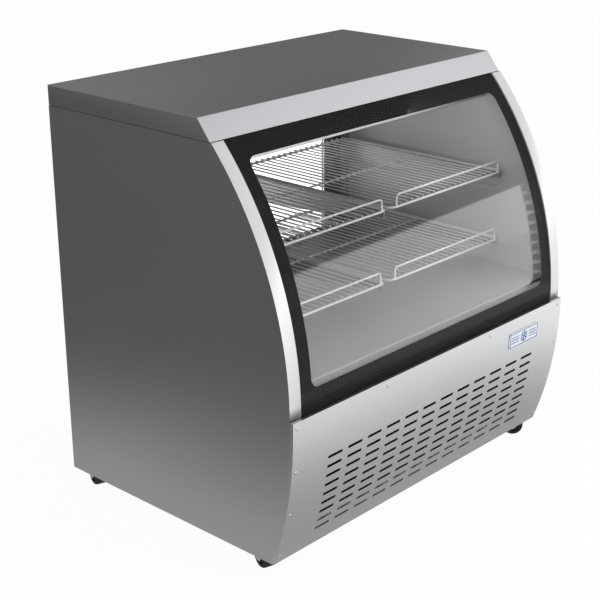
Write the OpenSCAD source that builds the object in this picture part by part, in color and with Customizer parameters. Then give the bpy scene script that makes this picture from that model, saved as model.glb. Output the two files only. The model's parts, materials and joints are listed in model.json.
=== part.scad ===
// Refrigerated deli case with curved front glass, rear sliding doors and wire shelves.
// Millimetres. X runs across the width, the customer side faces -Y, +Z is up.
// The origin is on the floor under the middle of the case.

/* [Cabinet] */
// Overall width across the side panels
case_w = 1016; // [980:1:1060]
// Overall depth, from the front screw heads to the back edge
case_d = 755; // [750:1:770]
// Overall height from the floor
case_h = 1012; // [1008:1:1020]
// Height of the panels' lower edge above the floor
panel_bottom_z = 46; // [44:1:50]
// Height of the top cap's skirt
cap_h = 46; // [42:1:48]
// Thickness of each end wall
wall_t = 35; // [32:1:38]
// Thickness of the sheet metal skins
skin_t = 1.2; // [1:0.1:1.5]
// Distance from the front face to the cap's upper front edge
cap_setback = 264; // [258:1:268]
// Distance from the front face to the cap's lower front edge
cap_lip_setback = 227; // [223:1:229]

/* [Front curve] */
// Radius of the curved glass, outside
glass_r = 828; // [820:1:836]
// Height of the glass curve's axis
glass_axis_z = 410; // [407:1:413]
// Radius of the lower front panel
panel_r = 973; // [965:1:980]
// Height of the lower panel curve's axis
panel_axis_z = 386; // [384:1:388]
// How far the lower panel stands in front of the end walls
panel_proud = 9.5; // [9:0.5:11]
// Height of the lower panel's top edge
panel_top_z = 407; // [406:1:409]

/* [Glazing] */
// Thickness of each front pane
pane_t = 4; // [3:0.5:5]
// Air gap between the front panes
pane_gap = 12; // [10:0.5:13]
// Width of the black border at each side
border_side = 38.5; // [36:0.5:42]
// Width of the black border at the top, along the curve
border_top = 49; // [44:1:54]
// Width of the black border at the bottom, along the curve
border_bottom = 55; // [50:1:60]
// Inner corner radius of the black border
border_r = 22; // [18:1:26]

/* [Louvres] */
// Columns of slots in the front panel
slot_cols = 12; // [10:1:12]
// Rows of slots in the front panel
slot_rows = 9; // [7:1:9]
// Length of one slot
slot_len = 48.5; // [40:0.5:50]
// Height of one slot
slot_h = 7; // [5:0.5:8]
// Spacing of the columns
slot_pitch_x = 66.9; // [60:0.1:68]
// Spacing of the rows, along the curve
slot_pitch_s = 24.4; // [22:0.1:25]
// Height of the top row
slot_top_z = 285.5; // [280:0.5:288]

/* [Shelves] */
// Height of the upper shelves' frame wire
upper_shelf_z = 723; // [715:1:735]
// Height of the lower shelves' frame wire
lower_shelf_z = 544; // [540:1:552]
// Front edge of the shelves
shelf_front_y = -207; // [-212:1:-200]
// Rear edge of the shelves
shelf_back_y = 314; // [308:1:315]
// Gap between the left and right shelf frames, centre to centre
shelf_gap = 14; // [14:1:18]
// Width of one shelf frame, centre to centre
shelf_w = 448; // [440:1:449]
// Diameter of the frame wire
frame_wire_d = 6; // [5.8:0.1:6.4]
// Diameter of the fence wire
fence_wire_d = 5.2; // [4.8:0.1:5.4]
// Diameter of the shelf's cross wires
wire_d = 3.6; // [3:0.1:4]
// Number of cross wires on one shelf
wire_count = 20; // [16:1:22]
// Height of the front fence
fence_h = 30; // [28:1:40]

/* [Deck and doors] */
// Height of the deck's upper face
deck_z = 469; // [467:1:471]
// Half width of the rear doorway
doorway_half_w = 426; // [420:1:430]
// Thickness of a sliding door
door_t = 15; // [14:0.5:15.5]
// Width of a door's frame
stile_w = 35; // [30:1:38]
// How far the two doors overlap in the middle
door_overlap = 30; // [28:1:36]

/* [Cooling] */
// Radius of the condenser fan blades
condenser_fan_r = 98; // [90:1:100]
// Radius of the evaporator fan blades
evaporator_fan_r = 41; // [38:1:42]
// Radius of the compressor shell
compressor_r = 78; // [70:1:80]

/* [Casters] */
// Wheel diameter
wheel_d = 56; // [52:1:56]
// Wheel width
wheel_w = 34; // [30:1:34]
// Distance from the swivel axis to the wheel's axle
caster_trail = 12; // [10:1:12]
// Angle that the casters are swivelled to
caster_turn = -16; // [-30:1:30]
// Angle that the front right caster is swivelled to
odd_caster_turn = -145; // [-150:1:-90]
// Distance of the swivel axes from the case's middle, across the width
caster_x = 468; // [460:1:468]
// Swivel axis of the front casters
caster_front_y = -262; // [-262:1:-240]
// Swivel axis of the rear casters
caster_back_y = 322; // [300:1:322]

/* [Hidden] */

// Resolution of the large front curves and of ordinary round parts
curve_fn = 360;
round_fn = 48;
// Gap kept between neighbouring pieces that only meet
fit_gap = 0.3;
// Overshoot of a cutting shape
cut = 2;

// Cabinet planes
half_w = case_w / 2;
head_h = 1.5;
front_y = -case_d / 2 + head_h;
back_y = case_d / 2;
skin_x = half_w - skin_t;
liner_x = half_w - wall_t;
liner_t = 1;
cap_z = case_h - cap_h;
wall_top_z = cap_z - 1;
cap_front_y = front_y + cap_setback;
cap_lip_y = front_y + cap_lip_setback;

// Front curves
glass_face_y = front_y + panel_proud;
glass_axis_y = glass_face_y + glass_r;
panel_axis_y = front_y + panel_r;
glass_bottom_z = panel_top_z - 3;
glass_top_z = cap_z - 2;
glass_half_w = liner_x - fit_gap;
glass_pack_t = 2 * pane_t + pane_gap;
frit_t = 0.6;
corner_steps = 8;

// Rear of the cabinet
jamb_front_y = back_y - 41.5;
jamb_t = 40;
doorway_sill_z = 440;
doorway_head_z = 936;
service_top_z = 414;
service_panel_y = back_y - 15.5;
service_top_gap_z = service_top_z - 1;

// Doors: the left door runs in the outer track and the right door in the inner one
track_rib_t = 1.5;
inner_door_y = jamb_front_y + 4.3;
outer_door_y = inner_door_y + door_t + 2.9;
door_bottom_z = doorway_sill_z + 2.5;
door_top_z = doorway_head_z - 6;
door_w = doorway_half_w + door_overlap / 2 - 1;
door_rail_h = 30;

// Base and machine space
base_z = 75;
base_t = 2;
tub_bottom_z = 335;
tub_wall = 27;
tub_top_z = deck_z - skin_t - 0.2;
tub_front_y = -330;

// Posts and brackets
post_w = 20;
post_d = 13.5;
post_back_y = jamb_front_y - 0.5;
post_front_y = post_back_y - post_d;
bracket_t = 2;
bracket_flange_w = 24;
bracket_rear_h = 60;
bracket_front_h = 20;
corner_r = 20;

// Cooling parts
fan_axis_x = -270;
fan_axis_z = 188;
evap_fan_y = -14;
evap_fan_z = 411;
evap_shaft_r = 2;
condenser_fan_y = -175;
condenser_shaft_r = 4;
compressor_x = 190;
compressor_y = 40;
coil_pipe_r = 5;

// Control parts on the service panel
control_x = 330;
control_z = 300;
button_r = 4;
button_gap = 24;
switch_x = 410;
switch_tilt = 7;
switch_body = [32.4, 22, 24.4];
switch_pin_r = 1.5;
rocker_size = [26, 7, 18];
gland_x = 330;
gland_z = 140;

// Casters
axle_r = 4;
axle_z = wheel_d / 2;
kingpin_r = 5;
cheek_t = 3;
race_bottom_z = 64;

// ---------------------------------------------------------------- helpers

// Extrudes a (y, z) outline along X from x0 to x1
module across(x0, x1) {
    translate([x0, 0, 0])
        rotate([90, 0, 90])
            linear_extrude(x1 - x0)
                children();
}

// Box from its two corners
module box(a, b) {
    translate(a)
        cube(b - a);
}

// (y, z) disc of the glass curve, taken in by inset
module glass_disc(inset = 0) {
    translate([glass_axis_y, glass_axis_z])
        circle(r = glass_r - inset, $fn = curve_fn);
}

// (y, z) disc of the lower panel's curve, taken in by inset
module panel_disc(inset = 0) {
    translate([panel_axis_y, panel_axis_z])
        circle(r = panel_r - inset, $fn = curve_fn);
}

// (y, z) strip between two heights, ending at y_end
module level_strip(z0, z1, y_end = back_y) {
    translate([-case_d, z0])
        square([case_d + y_end, z1 - z0]);
}

// (y, z) outline of an end wall, its front edge taken in by inset
module wall_outline(inset = 0, z0 = panel_bottom_z, z1 = wall_top_z, y_end = back_y) {
    intersection() {
        glass_disc(inset);
        level_strip(panel_top_z, z1, y_end);
    }
    intersection() {
        panel_disc(panel_proud + inset);
        level_strip(z0, panel_top_z, y_end);
    }
}

// (y, z) slice of the glazing between two depths behind its face
module glazing_outline(depth0, depth1) {
    intersection() {
        difference() {
            glass_disc(depth0);
            glass_disc(depth1);
        }
        level_strip(glass_bottom_z, glass_top_z, 0);
    }
}

// Round bar between two points
module bar(a, b, r) {
    d = b - a;
    len = norm(d);
    translate(a)
        rotate([0, acos(d[2] / len), atan2(d[1], d[0])])
            cylinder(r = r, h = len, $fn = 24);
}

// Slot with round ends along X, as a flat outline centred on the origin
module slot_outline(len, h) {
    square([len - h, h], center = true);
    for (s = [-1, 1])
        translate([s * (len - h) / 2, 0])
            circle(d = h, $fn = 24);
}

// Fan rotor about Z: pitched blades on a hub, its shaft running out towards -Z
module fan_blades(r, hub_r, depth, count, pitch_angle, shaft_r, shaft_l) {
    chord = r * 0.62;
    blade_t = r * 0.03;
    cylinder(r = hub_r, h = depth, center = true, $fn = round_fn);
    translate([0, 0, -depth / 2 - shaft_l])
        cylinder(r = shaft_r, h = shaft_l + 1, $fn = 24);
    intersection() {
        cylinder(r = r, h = depth, center = true, $fn = round_fn * 2);
        for (i = [0 : count - 1])
            rotate([0, 0, i * 360 / count])
                translate([r / 2 + hub_r / 3, 0, 0])
                    rotate([pitch_angle, 0, 0])
                        cube([r * 1.2, chord, blade_t], center = true);
    }
}

// ---------------------------------------------------------------- cabinet

// Outer skin of the left end wall, folded round the front edge as a band
module side_skin() {
    across(-half_w, -skin_x)
        wall_outline();
    across(-half_w, -liner_x)
        difference() {
            wall_outline();
            wall_outline(skin_t);
        }
}

module side_panel_left() {
    color("gray")
        side_skin();
}

module side_panel_right() {
    color("gray")
        mirror([1, 0, 0])
            side_skin();
}

// Foam in both end walls and in the roof
module insulation() {
    foam_gap = 0.2;
    color("khaki") {
        for (s = [0, 1])
            mirror([s, 0, 0])
                across(-skin_x + foam_gap, -liner_x - liner_t - foam_gap)
                    wall_outline(skin_t + foam_gap, tub_bottom_z, wall_top_z - 1, jamb_front_y - foam_gap);
        across(-skin_x + foam_gap, skin_x - foam_gap)
            polygon([
                [cap_lip_y + 6, cap_z],
                [cap_front_y + 3, case_h - skin_t - foam_gap],
                [back_y - skin_t - foam_gap, case_h - skin_t - foam_gap],
                [back_y - skin_t - foam_gap, cap_z]
            ]);
    }
}

// Inner stainless sheet of the left end wall
module side_liner() {
    across(-liner_x - liner_t, -liner_x)
        wall_outline(skin_t, tub_bottom_z, wall_top_z, jamb_front_y - 0.1);
}

module liner_left() {
    color("silver")
        side_liner();
}

module liner_right() {
    color("silver")
        mirror([1, 0, 0])
            side_liner();
}

module ceiling_liner() {
    color("silver")
        box([-glass_half_w, -122, cap_z - 1.8], [glass_half_w, jamb_front_y - 0.2, cap_z - 0.8]);
}

// Folded sheet top with skirts and a slanted front face
module top_cap() {
    lean = (cap_lip_y - cap_front_y) / cap_h;
    color("dimgray")
        difference() {
            across(-half_w, half_w)
                polygon([[cap_lip_y, cap_z], [cap_front_y, case_h], [back_y, case_h], [back_y, cap_z]]);
            across(-skin_x, skin_x)
                polygon([
                    [cap_lip_y + skin_t * 1.3 + lean * cut, cap_z - cut],
                    [cap_front_y + skin_t * 0.5, case_h - skin_t],
                    [back_y - skin_t, case_h - skin_t],
                    [back_y - skin_t, cap_z - cut]
                ]);
        }
}

// Tray that carries the machinery and the casters
module base_frame() {
    tray_h = 32;
    tray_front_y = -313;
    tray_back_y = service_panel_y - 2;
    color("darkgray")
        difference() {
            box([-skin_x + fit_gap, tray_front_y, base_z],
                [skin_x - fit_gap, tray_back_y, base_z + tray_h]);
            box([-skin_x + fit_gap + base_t, tray_front_y + base_t, base_z + base_t],
                [skin_x - fit_gap - base_t, tray_back_y - base_t, base_z + tray_h + cut]);
        }
}

// ---------------------------------------------------------------- front

// Angle above the glass axis of a height on the glass face
function glass_angle(z) = asin((z - glass_axis_z) / glass_r);

// Points of a rounded corner with different radii across and up
function corner_points(centre, rx, rz, start) =
    [for (i = [0 : corner_steps]) centre + [rx * cos(start + i * 90 / corner_steps), rz * sin(start + i * 90 / corner_steps)]];

// Cutter for a window in the curved glazing, its margins measured along the curve
module window_cutter(side, top, bottom, r) {
    half = glass_half_w - side;
    top_a = glass_angle(glass_top_z) - top / glass_r * 180 / PI;
    bottom_a = glass_angle(glass_bottom_z) + bottom / glass_r * 180 / PI;
    rt = r * cos(top_a);
    rb = r * cos(bottom_a);
    z1 = glass_axis_z + glass_r * sin(top_a) - rt;
    z0 = glass_axis_z + glass_r * sin(bottom_a) + rb;
    rotate([90, 0, 0])
        linear_extrude(case_d)
            polygon(concat(
                corner_points([half - r, z1], r, rt, 0),
                corner_points([r - half, z1], r, rt, 90),
                corner_points([r - half, z0], r, rb, 180),
                corner_points([half - r, z0], r, rb, 270)
            ));
}

module glass_outer() {
    color("lightblue", 0.35)
        across(-glass_half_w, glass_half_w)
            glazing_outline(0, pane_t);
}

module glass_inner() {
    color("lightblue", 0.35)
        across(-glass_half_w, glass_half_w)
            glazing_outline(pane_t + pane_gap, glass_pack_t);
}

// Black ceramic print on the inside of the outer pane
module glass_border() {
    color("black")
        difference() {
            across(-glass_half_w, glass_half_w)
                glazing_outline(pane_t, pane_t + frit_t);
            window_cutter(border_side, border_top, border_bottom, border_r);
        }
}

// Sealed spacer between the panes
module glass_spacer() {
    spacer_w = 14;
    color("black")
        difference() {
            across(-glass_half_w, glass_half_w)
                glazing_outline(pane_t + frit_t, pane_t + pane_gap);
            window_cutter(spacer_w, spacer_w, spacer_w, 4);
        }
}

// Beam under the glazing
module glass_sill() {
    color("darkgray")
        box([-glass_half_w, glass_face_y + 1, glass_bottom_z - 18.2],
            [glass_half_w, tub_front_y - 0.4, glass_bottom_z - 0.2]);
}

// Height of a row of slots, counted down from the top one
function slot_row_z(i) =
    panel_axis_z - panel_r * sin(asin((panel_axis_z - slot_top_z) / panel_r) + i * slot_pitch_s / panel_r * 180 / PI);

// Curved lower front panel with louvre slots and folded edges
module front_panel() {
    lip = 9;
    foot = 14;
    foot_y = panel_axis_y - sqrt(pow(panel_r, 2) - pow(panel_axis_z - panel_bottom_z, 2));
    color("lightgray")
        difference() {
            union() {
                across(-half_w, half_w)
                    intersection() {
                        difference() {
                            panel_disc();
                            panel_disc(skin_t);
                        }
                        level_strip(panel_bottom_z, panel_top_z, 0);
                    }
                for (s = [0, 1])
                    mirror([s, 0, 0])
                        across(-half_w, -skin_x)
                            intersection() {
                                difference() {
                                    panel_disc();
                                    panel_disc(panel_proud - 0.1);
                                }
                                level_strip(panel_bottom_z, panel_top_z, 0);
                            }
                box([-half_w, front_y + 0.6, panel_top_z - skin_t],
                    [half_w, front_y + lip, panel_top_z]);
                box([-glass_half_w, foot_y + 0.8, panel_bottom_z],
                    [glass_half_w, foot_y + foot, panel_bottom_z + skin_t]);
            }
            translate([0, front_y + 120, 0])
                rotate([90, 0, 0])
                    linear_extrude(140)
                        for (i = [0 : slot_rows - 1], k = [0 : slot_cols - 1])
                            translate([(k - (slot_cols - 1) / 2) * slot_pitch_x, slot_row_z(i)])
                                slot_outline(slot_len, slot_h);
        }
}

// Angle of a height on the lower panel, below its axis
function panel_angle(z) = asin((panel_axis_z - z) / panel_r);

// Places a child on the lower panel at (x, z), its +Z pointing out of the panel
module on_panel(x, z) {
    translate([x, panel_axis_y, panel_axis_z])
        rotate([90 + panel_angle(z), 0, 0])
            translate([0, 0, panel_r])
                children();
}

// Low domed screw head, sitting on z = 0
module screw_head(r = 4.5) {
    dome_r = (r * r + head_h * head_h) / (2 * head_h);
    intersection() {
        translate([0, 0, head_h - dome_r])
            sphere(r = dome_r, $fn = round_fn);
        cylinder(r = r + 1, h = head_h + 1, $fn = round_fn);
    }
}

// Ten screws round the front panel and eight on the service panel
module screws() {
    edge_in = 12;
    side_rows = [392, 288, 179, 66];
    top_x = 197;
    color("gainsboro") {
        for (s = [-1, 1], z = side_rows)
            on_panel(s * (half_w - edge_in), z)
                screw_head();
        for (s = [-1, 1])
            on_panel(s * top_x, side_rows[0])
                screw_head();
        for (x = [-490, -160, 160, 490], z = [64, 398])
            translate([x, service_panel_y, z])
                rotate([-90, 0, 0])
                    screw_head();
    }
}

// Plain plate with round corners
module badge_plate() {
    badge_w = 128;
    badge_h = 44;
    badge_r = 8;
    badge_t = 1;
    color("white")
        on_panel(344, 350)
            translate([0, 0, 0.2])
                linear_extrude(badge_t)
                    union() {
                        square([badge_w - 2 * badge_r, badge_h], center = true);
                        square([badge_w, badge_h - 2 * badge_r], center = true);
                        for (sx = [-1, 1], sy = [-1, 1])
                            translate([sx * (badge_w / 2 - badge_r), sy * (badge_h / 2 - badge_r)])
                                circle(r = badge_r, $fn = round_fn);
                    }
}

// ---------------------------------------------------------------- tub and deck

// Insulated tub under the deck, with a drain spout
module evaporator_tub() {
    tub_back_y = jamb_front_y - 0.4;
    spout = [-215, 220];
    spout_bottom_z = 130;
    color("lightgray")
        difference() {
            union() {
                box([-glass_half_w, tub_front_y, tub_bottom_z],
                    [glass_half_w, tub_back_y, tub_top_z]);
                translate([spout[0], spout[1], spout_bottom_z])
                    cylinder(r = 12, h = tub_bottom_z - spout_bottom_z + cut, $fn = round_fn);
            }
            box([-glass_half_w + tub_wall, tub_front_y + tub_wall, tub_bottom_z + tub_wall],
                [glass_half_w - tub_wall, tub_back_y - tub_wall, tub_top_z + cut]);
            translate([spout[0], spout[1], spout_bottom_z - cut])
                cylinder(r = 9, h = tub_bottom_z + tub_wall - spout_bottom_z + 2 * cut, $fn = round_fn);
        }
}

// Deck sheet with a row of air slots at the rear
module deck_pan() {
    deck_front_y = glass_face_y + glass_pack_t + 5;
    vent_count = 16;
    vent_pitch = 52;
    vent_y = 296;
    color("silver")
        difference() {
            box([-glass_half_w, deck_front_y, deck_z - skin_t],
                [glass_half_w, post_front_y - 0.2, deck_z]);
            for (k = [0 : vent_count - 1])
                translate([(k - (vent_count - 1) / 2) * vent_pitch, vent_y, deck_z - cut])
                    linear_extrude(2 * cut)
                        slot_outline(38, 6);
        }
}

// ---------------------------------------------------------------- rear

// Insulated surround of the rear doorway
module rear_frame() {
    side = skin_x - fit_gap;
    color("dimgray")
        difference() {
            box([-side, jamb_front_y, service_top_z], [side, jamb_front_y + jamb_t, wall_top_z]);
            box([-doorway_half_w, jamb_front_y - cut, doorway_sill_z],
                [doorway_half_w, jamb_front_y + jamb_t + cut, doorway_head_z]);
        }
}

// (y, z) outline of a double track with its base at z = 0 and ribs rising to rib_h
module track_outline(rib_h) {
    y0 = jamb_front_y + 2;
    base_h = 1.8;
    rib_ys = [y0, inner_door_y + door_t + 0.7, outer_door_y + door_t + 0.7];
    translate([y0, 0])
        square([rib_ys[2] + track_rib_t - y0, base_h]);
    for (y = rib_ys)
        translate([y, 0])
            square([track_rib_t, rib_h]);
}

// Bottom and top tracks
module door_tracks() {
    half = doorway_half_w - 0.2;
    color("lightgray") {
        across(-half, half)
            translate([0, doorway_sill_z + 0.1])
                track_outline(9);
        across(-half, half)
            translate([0, doorway_head_z - 0.1])
                mirror([0, 1])
                    track_outline(16);
    }
}

// Lower rear service panel with louvres and openings for the controls
module rear_panel() {
    cols = 8;
    rows = 7;
    side = skin_x - fit_gap;
    color("silver")
        difference() {
            union() {
                box([-side, service_panel_y - skin_t, panel_bottom_z + 1],
                    [side, service_panel_y, service_top_gap_z]);
                for (s = [-1, 1])
                    translate([s * (side - skin_t / 2), service_panel_y + 5, (panel_bottom_z + service_top_z) / 2])
                        cube([skin_t, 12, service_top_z - panel_bottom_z - 2], center = true);
            }
            translate([0, service_panel_y + cut, 0])
                rotate([90, 0, 0])
                    linear_extrude(skin_t + 2 * cut) {
                        for (i = [0 : rows - 1], k = [0 : cols - 1])
                            translate([-360 + k * 62, 120 + i * 22])
                                slot_outline(46, 6);
                        translate([control_x, control_z])
                            square([73, 31], center = true);
                        translate([switch_x, control_z])
                            square([switch_body[0] + 0.6, switch_body[2] + 0.6], center = true);
                        translate([gland_x, gland_z])
                            circle(r = 8.5, $fn = round_fn);
                    }
        }
}

// Door frame between x0 and x0 + door_w, its inner face at y
module door_frame(x0, y) {
    difference() {
        box([x0, y, door_bottom_z], [x0 + door_w, y + door_t, door_top_z]);
        box([x0 + stile_w, y - cut, door_bottom_z + door_rail_h],
            [x0 + door_w - stile_w, y + door_t + cut, door_top_z - stile_w]);
    }
}

// Two panes held in a door frame
module door_panes(x0, y) {
    sheet_t = 3;
    edge = 0.1;
    for (dy = [2, door_t - 2 - sheet_t])
        box([x0 + stile_w + edge, y + dy, door_bottom_z + door_rail_h + edge],
            [x0 + door_w - stile_w - edge, y + dy + sheet_t, door_top_z - stile_w - edge]);
}

// Upright pull: a shallow lip on a base strip, on the door's outer face
module door_pull(x, y, lip_side, reach) {
    pull_h = 150;
    pull_z = 650;
    lip_t = 1.6;
    translate([x, y, pull_z]) {
        translate([-7, 0, 0])
            cube([14, 1.2, pull_h]);
        translate([lip_side * 6.2 - lip_t / 2, 0, 0])
            cube([lip_t, reach, pull_h]);
    }
}

left_door_x = -doorway_half_w + 1;
right_door_x = doorway_half_w - 1 - door_w;

module door_left_frame() {
    color([0.12, 0.12, 0.12])
        door_frame(left_door_x, outer_door_y);
}

module door_left_glass() {
    color("lightblue", 0.35)
        door_panes(left_door_x, outer_door_y);
}

module door_left_handle() {
    color("silver")
        door_pull(left_door_x + stile_w / 2, outer_door_y + door_t, 1, back_y - outer_door_y - door_t);
}

module door_right_frame() {
    color([0.12, 0.12, 0.12])
        door_frame(right_door_x, inner_door_y);
}

module door_right_glass() {
    color("lightblue", 0.35)
        door_panes(right_door_x, inner_door_y);
}

module door_right_handle() {
    color("silver")
        door_pull(right_door_x + door_w - stile_w / 2, inner_door_y + door_t, -1, 2.2);
}

// ---------------------------------------------------------------- shelving

// Slotted channel standing between the deck and the ceiling
module post(x) {
    wall = 1.5;
    slot_first_z = 500;
    slot_step = 30;
    z0 = tub_top_z + 0.2;
    z1 = cap_z - 2;
    difference() {
        box([x - post_w / 2, post_front_y, z0], [x + post_w / 2, post_back_y, z1]);
        box([x - post_w / 2 + wall, post_front_y + wall, z0 - cut],
            [x + post_w / 2 - wall, post_back_y + cut, z1 + cut]);
        for (z = [slot_first_z : slot_step : z1 - slot_step])
            box([x - 2, post_front_y - cut, z], [x + 2, post_front_y + wall + cut, z + 14]);
    }
}

side_post_x = liner_x - post_w / 2 - 0.2;

module shelf_posts() {
    color("silver")
        for (x = [-side_post_x, 0, side_post_x])
            post(x);
}

// Cantilever bracket: tapered web with a top flange from flange_x0 to flange_x1
module bracket(web_x, flange_x0, flange_x1, z) {
    rear_y = post_front_y - 0.1;
    front_end_y = shelf_front_y + 14;
    top_z = z - frame_wire_d / 2 - 0.3;
    across(web_x - bracket_t / 2, web_x + bracket_t / 2)
        polygon([
            [rear_y, top_z],
            [rear_y, top_z - bracket_rear_h],
            [rear_y - 250, top_z - bracket_rear_h + 8],
            [front_end_y, top_z - bracket_front_h],
            [front_end_y, top_z]
        ]);
    box([flange_x0, front_end_y, top_z - 1.5], [flange_x1, rear_y, top_z]);
}

// Left, centre and right brackets of one level
module bracket_set(z) {
    web_x = liner_x - 2;
    bracket(-web_x, -web_x - 1, -web_x + bracket_flange_w, z);
    bracket(0, -bracket_flange_w / 2, bracket_flange_w / 2, z);
    bracket(web_x, web_x - bracket_flange_w, web_x + 1, z);
}

module brackets_upper() {
    color("gray")
        bracket_set(upper_shelf_z);
}

module brackets_lower() {
    color("gray")
        bracket_set(lower_shelf_z);
}

// Quarter turn of round wire with bend radius r, from +X to +Y
module wire_bend(r, wire_r) {
    rotate_extrude(angle = 90, $fn = round_fn)
        translate([r, 0])
            circle(r = wire_r, $fn = 24);
}

// Right-hand wire shelf: round-wire frame, front fence and cross wires
module shelf(z) {
    x0 = shelf_gap / 2;
    x1 = x0 + shelf_w;
    y0 = shelf_front_y;
    y1 = shelf_back_y;
    r = frame_wire_d / 2;
    c = corner_r;
    fr = fence_wire_d / 2;
    fc = 10;
    pitch = shelf_w / (wire_count + 1);
    union() {
        for (y = [y0, y1])
            bar([x0 + c, y, z], [x1 - c, y, z], r);
        for (x = [x0, x1])
            bar([x, y0 + c, z], [x, y1 - c, z], r);
        for (q = [[x1 - c, y1 - c, 0], [x0 + c, y1 - c, 90], [x0 + c, y0 + c, 180], [x1 - c, y0 + c, 270]])
            translate([q[0], q[1], z])
                rotate([0, 0, q[2]])
                    wire_bend(c, r);
        bar([x0, (y0 + y1) / 2, z], [x1, (y0 + y1) / 2, z], fr);
        for (x = [x0 + c, x1 - c])
            bar([x, y0, z], [x, y0, z + fence_h - fc], fr);
        bar([x0 + c + fc, y0, z + fence_h], [x1 - c - fc, y0, z + fence_h], fr);
        translate([x1 - c - fc, y0, z + fence_h - fc])
            rotate([90, 0, 0])
                wire_bend(fc, fr);
        translate([x0 + c + fc, y0, z + fence_h - fc])
            rotate([90, 0, 180])
                wire_bend(fc, fr);
    }
    for (i = [1 : wire_count])
        bar([x0 + i * pitch, y0 + r + 0.6, z + r + wire_d / 2 + 0.05],
            [x0 + i * pitch, y1 + r, z + r + wire_d / 2 + 0.05], wire_d / 2);
}

module shelf_upper_left() {
    color("gainsboro")
        mirror([1, 0, 0])
            shelf(upper_shelf_z);
}

module shelf_upper_right() {
    color("gainsboro")
        shelf(upper_shelf_z);
}

module shelf_lower_left() {
    color("gainsboro")
        mirror([1, 0, 0])
            shelf(lower_shelf_z);
}

module shelf_lower_right() {
    color("gainsboro")
        shelf(lower_shelf_z);
}

// ---------------------------------------------------------------- light

led_back_y = -108;
led_front_y = -140;
led_bottom_z = 905;
led_top_z = 932;

// Channel hung from the ceiling along the top of the glass
module led_housing() {
    hanger_t = 2;
    color("darkgray")
        across(-liner_x + 8, liner_x - 8)
            polygon([
                [led_front_y, led_bottom_z],
                [led_front_y, led_top_z - 8],
                [led_front_y + 8, led_top_z],
                [led_back_y - hanger_t, led_top_z],
                [led_back_y - hanger_t, cap_z - 2],
                [led_back_y, cap_z - 2],
                [led_back_y, led_bottom_z + 4],
                [led_front_y + 4, led_bottom_z + 4],
                [led_front_y + 4, led_bottom_z]
            ]);
}

// Diffuser strip under the channel
module led_lens() {
    color("white")
        across(-liner_x + 10, liner_x - 10)
            polygon([
                [led_front_y + 4.2, led_bottom_z + 0.4],
                [led_back_y, led_bottom_z + 0.4],
                [led_back_y, led_bottom_z + 3.8],
                [led_front_y + 4.2, led_bottom_z + 3.8]
            ]);
}

// ---------------------------------------------------------------- cooling

// Fin block with end plates and pipe bends showing at one side
module coil_block(w, d, h, rows) {
    fin_gap = 14;
    fin_t = 6;
    plate_t = 1.5;
    difference() {
        cube([w, d, h]);
        for (x = [10 : fin_gap : w - 16])
            translate([x, -cut, 6])
                cube([fin_t, d * 0.35 + cut, h - 12]);
    }
    for (i = [0 : rows - 1])
        translate([w - plate_t, d / 2, h * (i + 0.5) / rows])
            rotate([0, 90, 0])
                cylinder(r = coil_pipe_r, h = 14, $fn = 24);
}

module evaporator_coil() {
    color("silver")
        translate([-200, 50, tub_bottom_z + tub_wall + 0.1])
            coil_block(400, 120, 92, 3);
}

// Baffle with a small square fan frame
module evaporator_fan_frame() {
    frame_w = 94;
    frame_d = 25;
    baffle_half_w = 430;
    z0 = tub_bottom_z + tub_wall + 0.1;
    arm_h = 5;
    color([0.15, 0.15, 0.15])
        difference() {
            union() {
                box([-baffle_half_w, -1.5, z0], [baffle_half_w, 0, deck_z - skin_t - 1]);
                box([-frame_w / 2, -1.5 - frame_d, evap_fan_z - frame_w / 2],
                    [frame_w / 2, -1.5, evap_fan_z + frame_w / 2]);
            }
            translate([0, cut, evap_fan_z])
                rotate([90, 0, 0])
                    cylinder(r = evaporator_fan_r + 1.5, h = frame_d + 3 * cut, $fn = 2 * round_fn);
        }
    color([0.15, 0.15, 0.15])
        difference() {
            union() {
                for (a = [45, 135])
                    translate([0, 0.5, evap_fan_z])
                        rotate([0, a, 0])
                            cube([2 * evaporator_fan_r + 6, 3, arm_h], center = true);
                translate([0, 14, evap_fan_z])
                    rotate([90, 0, 0])
                        cylinder(r = 15, h = 16, $fn = round_fn);
            }
            translate([0, 6, evap_fan_z])
                rotate([90, 0, 0])
                    cylinder(r = evap_shaft_r + 0.05, h = 10, $fn = 24);
        }
}

module evaporator_fan_blade() {
    color([0.2, 0.2, 0.2])
        translate([0, evap_fan_y, evap_fan_z])
            rotate([90, 0, 0])
                fan_blades(evaporator_fan_r, 14, 20, 5, 32, evap_shaft_r, 8);
}

// Hermetic shell with a domed top and a weld ring, on a foot plate
module compressor() {
    r = compressor_r;
    shell_z0 = base_z + base_t + 16;
    shell_h = 190;
    dome_h = 42;
    dome_steps = 6;
    ring_z = 104;
    dome = [for (i = [0 : dome_steps - 1])
        [r * cos(i * 90 / dome_steps), shell_h - dome_h + dome_h * sin(i * 90 / dome_steps)]];
    color([0.1, 0.1, 0.1])
        translate([compressor_x, compressor_y, 0]) {
            translate([0, 0, shell_z0])
                rotate_extrude($fn = 2 * round_fn)
                    polygon(concat(
                        [[0, 0], [r - 12, 0], [r, 14], [r, ring_z], [r + 4, ring_z], [r + 4, ring_z + 6], [r, ring_z + 6]],
                        dome,
                        [[0, shell_h]]
                    ));
            translate([0, 0, shell_z0 + 4])
                cube([200, 120, 4], center = true);
            for (sx = [-1, 1], sy = [-1, 1])
                translate([sx * 86, sy * 46, base_z + base_t + 0.1])
                    cylinder(r = 11, h = shell_z0 - base_z - base_t + 3, $fn = round_fn);
        }
}

module condenser_coil() {
    color("silver")
        translate([fan_axis_x - 130, -278, base_z + base_t + 0.2])
            coil_block(260, 50, 222, 6);
}

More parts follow.
